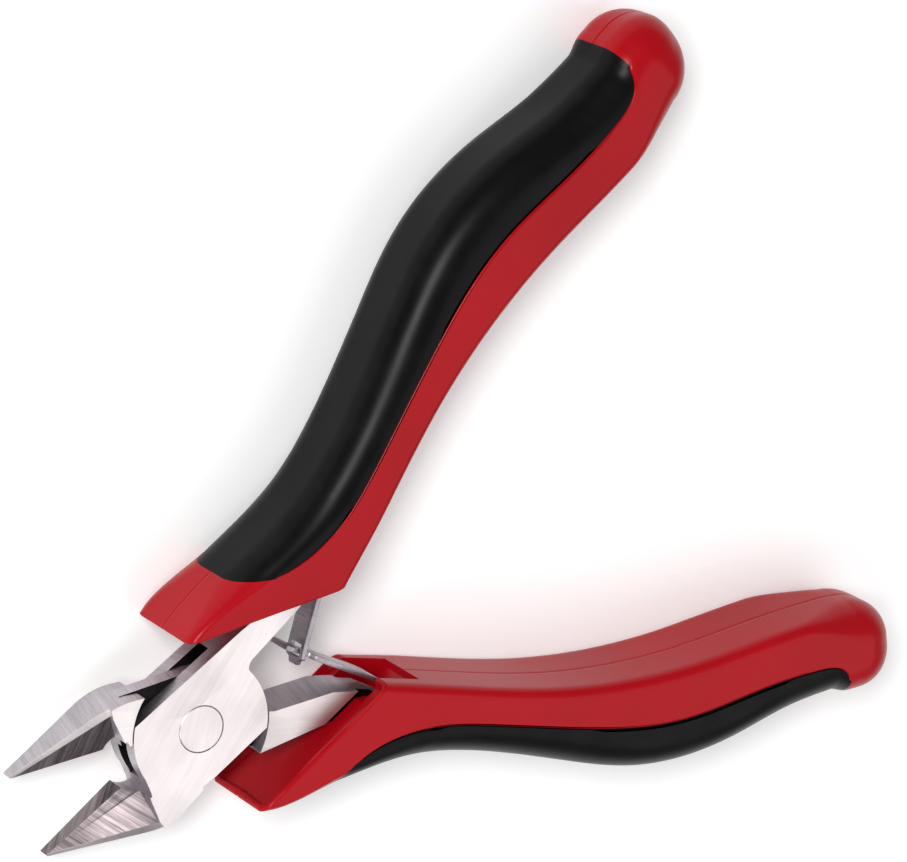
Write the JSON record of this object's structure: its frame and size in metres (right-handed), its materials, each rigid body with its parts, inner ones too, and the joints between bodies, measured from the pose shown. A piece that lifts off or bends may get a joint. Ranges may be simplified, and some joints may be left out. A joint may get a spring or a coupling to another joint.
{
  "type": "sprue nippers",
  "caption": "Small flush-cutting nippers with bevelled jaws, a slip joint, hooked leaf springs and two-part red and black grips.",
  "frame": {"origin": "on the pivot axis, at the flat back face of the joint", "axes": "+X along the bisector of the handles, away from the jaws; +Y to the handle of the slotted half; +Z out of the front face"},
  "size_m": [0.1029, 0.0926, 0.0129],
  "materials": {
    "steel": "satin",
    "rivet_steel": "satin",
    "spring_steel": "satin",
    "red_plastic": "gloss",
    "black_rubber": "satin"
  },
  "bodies": {
    "upper_handle_half": {"slotted_half": "steel", "pivot_rivet": "rivet_steel", "slotted_leaf_spring": "spring_steel", "upper_spring_rivet": "rivet_steel", "upper_grip_shell": "red_plastic", "upper_grip_inlay": "black_rubber"},
    "lower_handle_half": {"tongue_half": "steel", "hooked_leaf_spring": "spring_steel", "lower_spring_rivet": "rivet_steel", "lower_grip_shell": "red_plastic", "lower_grip_inlay": "black_rubber"}
  },
  "joints": [
    {"name": "handle_squeeze", "type": "hinge", "parent": "upper_handle_half", "child": "lower_handle_half", "pos_m": [0, 0, 0], "axis": [0, 0, 1], "range_deg": [0, 28.8], "stiffness_Nm_per_rad": 0.35, "springref_deg": -21.77, "deforming": ["slotted_leaf_spring", "hooked_leaf_spring"]}
  ]
}
